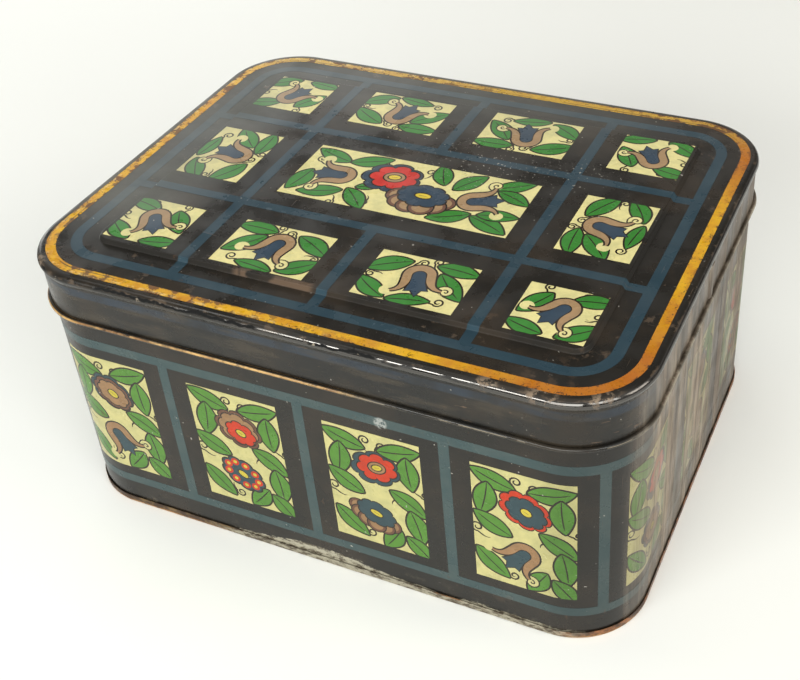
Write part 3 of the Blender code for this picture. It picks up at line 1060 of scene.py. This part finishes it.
def lid_black():
    tones = (0.0115, 0.0100, 0.0078), (0.027, 0.0200, 0.0135)
    coat = Coat("lid_black_print", tones, BROWNED, specular=0.42)
    # The crest of the shoulder has flaked along a ragged line, black with brown edges
    wander = coat.math("MULTIPLY", coat.math("SUBTRACT", coat.noise(150, 4, 0.7), 0.5), 3.0 * MM)
    coat.axes["ragged z"] = coat.plus(coat.axes["z"], wander)
    fringe = coat.between("ragged z", RIM - 1.8, RIM - 0.35, 0.12)
    coat.paint((0.090, 0.064, 0.044), fringe, coat.patches(0.50, 0.60, 130, 3, 0.6), 0.75)
    flaked = coat.between("ragged z", RIM - 1.75, RIM - 0.80, 0.10)
    leftwards = coat.level("x", 72, 46, 0.15, 1.0)
    flaked = coat.times(flaked, coat.patches(0.36, 0.44, 42, 3, 0.6), leftwards)
    coat.paint(FLAKED, flaked)
    specks = coat.times(coat.between("ragged z", RIM - 2.1, RIM - 0.5, 0.15),
                        coat.patches(0.61, 0.66, 360, 3, 0.7), coat.patches(0.46, 0.56, 50, 2))
    coat.paint((0.30, 0.25, 0.19), specks, 0.7)
    # Scuffs through the print, at the embossing's corners and near the shoulder
    scuffs = coat.spots(RIM, (93.5, -67.5, 6), (58, -62, 8), (87.5, -81, 14), (92, 67, 6))
    scuffs = coat.times(scuffs, coat.patches(0.52, 0.62, 260, 5, 0.7), 0.35)
    scraped = coat.times(coat.between("x", -35, -4, 1.5), coat.between("y", -68.4, -65.6, 0.4),
                         coat.patches(0.40, 0.46, 95, 3, 0.6))
    coat.paint(SCUFF, coat.either(scuffs, scraped), 0.75)
    bared = coat.spots(RIM - 1, (88, -90.5, 7), (107, -86, 7), (70, -90.5, 5), (-108, -86, 6))
    upper = coat.level("z", RIM - 1.1, RIM - 0.5, 0.45, 1.0)
    bared = coat.times(bared, coat.patches(0.50, 0.57, 300, 4, 0.7), upper)
    coat.paint((0.26, 0.19, 0.13), bared, 0.75)
    # The bend below the crest is polished by handling, towards the right of the front
    whole = coat.level(coat.either(flaked, bared), 0.0, 0.6, 1.0, 0.0)
    polish = coat.times(coat.between("z", RIM - 3.0, RIM - 0.6, 0.3), coat.level("x", -40, 15), whole)
    return printed(coat, polish, coat.either(flaked, slope_of_lid(coat)))


def skirt_black():
    """The skirt's black, with a faint blue band under the shoulder and a hem worn to gold at the left."""
    tones = (0.0095, 0.0090, 0.0080), (0.021, 0.0155, 0.0100)
    coat = Coat("skirt_black_print", tones, BROWNED, specular=0.36)
    kept = coat.level(coat.noise(55, 4, 0.65), 0.32, 0.62, 0.20, 0.80)
    on_band = coat.between("z", *band(SKIRT_BAND_Z / MM, SKIRT_BAND_WIDTH / MM), 0.3)
    coat.paint((0.019, 0.029, 0.043), on_band, kept)
    smears = coat.level(coat.grain((40, 40, 260), 4, 0.65), 0.46, 0.66)
    coat.paint((0.042, 0.033, 0.022), smears, 0.6)
    dashes = coat.level(coat.grain((120, 120, 900), 3, 0.6), 0.66, 0.70)
    coat.paint(SCUFF, dashes, coat.patches(0.46, 0.58, 30, 2), 0.7)
    # The hem: gold along its crest at the left, a thin scratched line elsewhere
    crest = coat.between("z", HEM, HEM + 0.70, 0.12)
    gilt = coat.mix(coat.patches(0.4, 0.62, 90, 3), (0.50, 0.31, 0.115), (0.22, 0.115, 0.045))
    coat.paint(gilt, crest, coat.level("x", 32, 8), coat.patches(0.38, 0.54, 75, 4, 0.7))
    line = coat.times(coat.between("z", HEM + 0.15, HEM + 0.40, 0.1), coat.patches(0.44, 0.52, 60, 4, 0.7))
    coat.paint((0.30, 0.25, 0.18), line, coat.level("x", 8, 32), 0.7)
    return printed(coat)


def scuff_foot(coat):
    """Scrapes the foot of the front to grey metal, in level smears, highest left of the middle."""
    front = coat.level("y", -CORNER_Y - 20, -CORNER_Y - 26)
    reach = coat.times(coat.level("x", -56, -36), coat.level("x", 106, 88), front)
    smear = coat.grain((34, 34, 260), 5, 0.72)
    high_patch = coat.level(coat.math("ABSOLUTE", coat.plus(coat.axes["x"], 4 * MM)), 34 * MM, 4 * MM)
    height = coat.math("SUBTRACT", coat.axes["z"], coat.math("MULTIPLY", high_patch, 3.2 * MM))
    smear = coat.plus(smear, coat.noise(800, 2, 0.6), 0.22)
    patches = coat.plus(smear, coat.level(height, 5.5 * MM, 0.8 * MM, -0.11, 0.31))
    scuffed = coat.times(reach, coat.level(patches, 0.60, 0.68), coat.level(height, 6.5 * MM, 4.0 * MM))
    fine = coat.grain((260, 260, 600), 4, 0.75)
    metal = coat.mix(coat.level(fine, 0.44, 0.60), (0.34, 0.315, 0.235), (0.085, 0.068, 0.045))
    coat.paint(metal, scuffed, 0.92)


def body_black():
    tones = (0.0100, 0.0088, 0.0070), (0.019, 0.0140, 0.0095)
    coat = Coat("body_black_print", tones, BROWNED, specular=0.34)
    grimy = coat.times(coat.level("z", 11, 3), coat.patches(0.56, 0.70, 120, 4, 0.7))
    coat.paint((0.10, 0.085, 0.06), grimy, 0.5)
    scuff_foot(coat)
    return printed(coat)


def blue_print(name, colour, pale, specular, on_lid_top=False):
    coat = Coat(name, (colour, pale), (0.38, 0.70, 70, 4, 0.65), specular=specular)
    return printed(coat, dull=slope_of_lid(coat) if on_lid_top else None)


def picture_inks(name, specular):
    """Every ink of the pictures: the colour comes from the plate's faces, aged unevenly."""
    tints = (1.04, 1.03, 0.98), (0.80, 0.82, 0.80)
    coat = Coat(name, tints, (0.3, 0.75, 180, 4, 0.7), specular=specular)
    inputs = {0: coat.attribute("ink", "Vector"), 1: coat.colour}
    coat.colour = coat.node("VectorMath", inputs, operation="MULTIPLY").outputs[0]
    return printed(coat)


def gold_print():
    """The gold line: yellow at the left, orange at the right corners, rusty along its outer edge."""
    tones = (0.69, 0.385, 0.010), (0.55, 0.245, 0.010)
    coat = Coat("gold_print", tones, (0.40, 0.66, 85, 4, 0.7), specular=0.38)
    middle = (SHOULDER - GOLD_MARGIN * MM) / MM
    out = coat.math("SUBTRACT", coat.math("MULTIPLY", coat.attribute("across"), 1 / MM), middle)
    out = coat.math("MULTIPLY", out, 2 / GOLD_WIDTH)    # -1 at the inner edge, 1 at the outer edge
    off_middle = coat.math("ABSOLUTE", out)
    leftwards = coat.level("x", 45, -45)
    corners = coat.either(coat.spot((108, -82, 112), 75, 0.9), coat.spot((112, 70, 112), 50, 0.9))
    coat.paint((0.38, 0.095, 0.009), corners, 0.85)
    coat.paint((0.46, 0.30, 0.045), coat.level("y", 66, 84), 0.6)
    rust = coat.times(coat.patches(0.50, 0.62, 210, 4, 0.7), coat.level(out, -0.2, 0.9))
    coat.paint((0.30, 0.095, 0.015), rust, 0.55)
    gnawed = coat.plus(coat.noise(150, 5, 0.75), off_middle, 0.07)
    worn_most = coat.either(leftwards, coat.spot((92, 86, 112), 50, 0.7))
    coat.paint((0.10, 0.032, 0.010), coat.level(gnawed, 0.545, 0.585), worn_most, 0.88)
    # Painted highlights: pale gold along the outer half of the line at the left.
    painted_highlights = coat.times(coat.between(out, 0.30, 0.85, 0.12), coat.patches(0.52, 0.59, 240, 3, 0.7))
    coat.paint((0.78, 0.60, 0.26), painted_highlights, leftwards, 0.55)
    # Where the line is lost: ragged edges, specks, and a thin line along it at the left and back
    edge = coat.level(coat.plus(coat.noise(420, 4, 0.75), off_middle, 0.20), 0.76, 0.80)
    specks = coat.times(coat.patches(0.58, 0.63, 1150, 3, 0.7), coat.level(out, -0.6, 0.7, 0.35, 1.0))
    specks = coat.times(specks, coat.patches(0.34, 0.52, 50, 2))
    tired = coat.either(coat.spot((-112, -84, 112), 60, 0.7), coat.level("y", 74, 84, 0.0, 0.7))
    inner = coat.times(coat.between(out, -0.60, -0.34, 0.08), tired, coat.patches(0.40, 0.52, 50, 3))
    coat.paint((0.030, 0.017, 0.010), coat.either(edge, specks, inner), 0.92)
    rough = coat.level(coat.noise(150, 3), 0.3, 0.7, 0.25, 0.5)
    return coat.finish(rough, coat.bump(coat.noise(900, 2), 0.15, 0.00012))


def tinplate(name="bare_tinplate", tarnish=0.35):
    tones = (0.56, 0.55, 0.52), (0.36, 0.34, 0.31)
    coat = Coat(name, tones, (0.35, 0.70, 55, 5, 0.65), metallic=0.85)
    coat.paint((0.16, 0.095, 0.05), coat.patches(0.52, 0.68, 24, 4, 0.7), tarnish)
    rough = coat.level(coat.noise(55, 5, 0.65), 0.3, 0.75, 0.30, 0.58)
    return coat.finish(rough, coat.bump(coat.noise(500, 3), 0.12, 0.0002))


def base_lacquer():
    """The base: bronze lacquer, worn dark up its turned-up edge and scuffed with the body at the front."""
    tones = (0.34, 0.165, 0.048), (0.16, 0.070, 0.025)
    coat = Coat("base_lacquer", tones, (0.36, 0.66, 60, 4, 0.65), metallic=0.4)
    coat.paint((0.035, 0.020, 0.012), coat.patches(0.56, 0.64, 210, 4, 0.7), 0.8)
    copper = coat.mix(coat.level("x", 10, 90), (0.17, 0.108, 0.046), (0.27, 0.110, 0.043))
    edge = coat.mix(coat.patches(0.45, 0.60, 130, 4, 0.7), (0.055, 0.030, 0.017), copper)
    upper = coat.plus(coat.axes["z"], coat.noise(90, 3), 1.6 * MM)
    coat.paint(edge, coat.level(upper, 1.6 * MM, 2.3 * MM))
    scuff_foot(coat)
    rough = coat.level(coat.noise(90, 3), 0.3, 0.7, 0.32, 0.62)
    return coat.finish(rough, coat.bump(coat.noise(400, 3), 0.2, 0.0002))


# ---------------------------------------------------------------- the stage

# Camera, in the tin's own frame
CAMERA_PLACE = (0.1925, -0.3516, 0.3644)
CAMERA_TURN = 25.47      # degrees to the right of the front
CAMERA_DOWN = 36.38
CAMERA_ROLL = -3.29
CAMERA_LENS = 56.15      # mm, on a 36 mm sensor
CAMERA_SHIFT = (-0.0923, -0.0749)


def camera():
    data = bpy.data.cameras.new("camera")
    data.lens = CAMERA_LENS
    data.sensor_width = 36
    data.shift_x, data.shift_y = CAMERA_SHIFT
    data.clip_start = 0.01
    obj = linked("camera", data)
    turn = Matrix.Rotation(math.radians(CAMERA_TURN), 4, "Z")
    tilt = Matrix.Rotation(math.radians(90 - CAMERA_DOWN), 4, "X")
    roll = Matrix.Rotation(math.radians(CAMERA_ROLL), 4, "Z")
    obj.matrix_world = Matrix.Translation(CAMERA_PLACE) @ turn @ tilt @ roll
    bpy.context.scene.camera = obj


def area_light(name, place, width, height, power, colour):
    data = bpy.data.lights.new(name, "AREA")
    data.shape = "RECTANGLE"
    data.size, data.size_y = width, height
    data.energy = power
    data.color = colour
    obj = linked(name, data)
    obj.visible_camera = False
    aim = (Vector(LIGHT_TARGET) - Vector(place)).to_track_quat("-Z", "Y")
    obj.matrix_world = Matrix.Translation(place) @ aim.to_matrix().to_4x4()


WHITE = (0.99, 1.0, 0.97)
WARM = (1.0, 0.94, 0.86)
STUDIO_LIGHTS = [  # name, place, size in metres, power in watts, colour; all aimed at the tin
    ("overhead", (0.15, -0.10, 2.20), (2.4, 2.4), 10.0, WHITE),
    ("front_left", (-0.62, -1.52, 0.82), (0.75, 0.34), 13.0, WHITE),
    ("front", (0.30, -1.70, 0.80), (1.2, 1.0), 24.0, WHITE),
    ("front_right", (1.25, -0.90, 0.95), (0.9, 0.8), 14.0, WHITE),
    ("right", (1.60, 0.15, 0.80), (0.8, 0.7), 8.5, WARM),
    ("behind_left", (-1.00, 0.85, 0.35), (1.1, 0.5), 6.3, WHITE),
    ("behind", (-0.35, 1.30, 0.45), (0.9, 0.45), 1.7, WARM),
    ("strip_left", (-0.85, 0.00, 1.50), (0.5, 0.3), 2.0, WHITE),
]
LIGHT_TARGET = (0, 0, 0.05)
AMBIENT = 0.14
AMBIENT_COLOUR = (1.0, 0.96, 0.90, 1)
BACKDROP = 0.80      # brightness of the background where the floor ends
BACKDROP_COLOUR = (0.99, 1.0, 0.98, 1)
FLOOR_REACH = 1.1    # metres from the tin
FLOOR_DROP = 0.2 * MM


def studio():
    """A pale floor under soft lights all round, the two behind the tin low enough to show in its lid."""
    scene = bpy.context.scene
    scene.view_settings.view_transform = "Standard"
    world = bpy.data.worlds.new("studio")
    scene.world = world
    world.use_nodes = True
    nodes, links = world.node_tree.nodes, world.node_tree.links
    ambient = nodes["Background"]
    ambient.inputs["Color"].default_value = AMBIENT_COLOUR
    ambient.inputs["Strength"].default_value = AMBIENT
    backdrop = nodes.new("ShaderNodeBackground")
    backdrop.inputs["Color"].default_value = BACKDROP_COLOUR
    backdrop.inputs["Strength"].default_value = BACKDROP
    seen = nodes.new("ShaderNodeLightPath")
    either = nodes.new("ShaderNodeMixShader")
    links.new(seen.outputs["Is Camera Ray"], either.inputs["Fac"])
    links.new(ambient.outputs[0], either.inputs[1])
    links.new(backdrop.outputs[0], either.inputs[2])
    links.new(either.outputs[0], nodes["World Output"].inputs["Surface"])
    for name, place, (width, height), power, colour in STUDIO_LIGHTS:
        area_light(name, place, width, height, power, colour)
    bm = bmesh.new()
    bmesh.ops.create_circle(bm, cap_ends=True, segments=96, radius=FLOOR_REACH)
    coat = Coat("pale_floor", specular=0.2)
    coat.colour = coat.mix(coat.noise(3, 3), (0.90, 0.91, 0.885), (0.87, 0.875, 0.85))
    floor = solid("floor", bm, [coat.finish(0.7, coat.bump(coat.noise(300, 2), 0.1, 0.0002))])
    floor.location.z = -FLOOR_DROP


# ---------------------------------------------------------------- the tin

SEAM_GAP = 0.15 * MM      # from the middle of a seam to the edge of a sheet


def between_seams(seam_y):
    """Front and rear halves as distances round the wall. The right seam is at seam_y, the left at -seam_y."""
    right = ARC_X + QUARTER + ARC_Y + seam_y
    left = -(ARC_X + QUARTER + ARC_Y - seam_y)
    return (("front", (left + SEAM_GAP, right - SEAM_GAP)),
            ("rear", (right + SEAM_GAP, left + PERIMETER - SEAM_GAP)))


def build():
    lid_print, skirt_print, body_print = lid_black(), skirt_black(), body_black()
    tin, lacquer = tinplate(), base_lacquer()
    # The body's inks are the lid's, painted darker: shade for its upright walls.
    lid_inks, shaded_body_inks = picture_inks("lid_picture_inks", 0.42), picture_inks("shaded_body_picture_inks", 0.34)
    gold = gold_print()
    lid_blue = blue_print("lid_blue_print", (0.019, 0.044, 0.062), (0.027, 0.056, 0.074), 0.42, True)
    body_blue = blue_print("body_blue_print", (0.028, 0.052, 0.054), (0.042, 0.064, 0.063), 0.34)

    body_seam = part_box("body_right_seam")
    halves = between_seams((body_seam[0].y + body_seam[1].y) / 2)
    for half, reach in halves:
        wall_half("body_" + half, reach, body_print, tin)
    for half, reach in halves:
        wall_lattice(f"print_body_{half}_bars", reach, body_blue)
    wall_pictures(shaded_body_inks)
    base_plate(lacquer, tin)
    for node in ("body_left_seam", "body_right_seam"):
        seam_strip(node, tinplate("solder_" + node, 0.15))

    lid_panel(lid_print, tin)
    for half, reach in between_seams(0):
        lid_skirt("lid_skirt_" + half, reach, skirt_print, tin)
    for node in ("lid_left_seam", "lid_right_seam"):
        skirt_lap(node, skirt_print)
    gold_line(gold)
    lid_lattice(lid_blue)
    lid_pictures(lid_inks)


camera()
studio()
build()
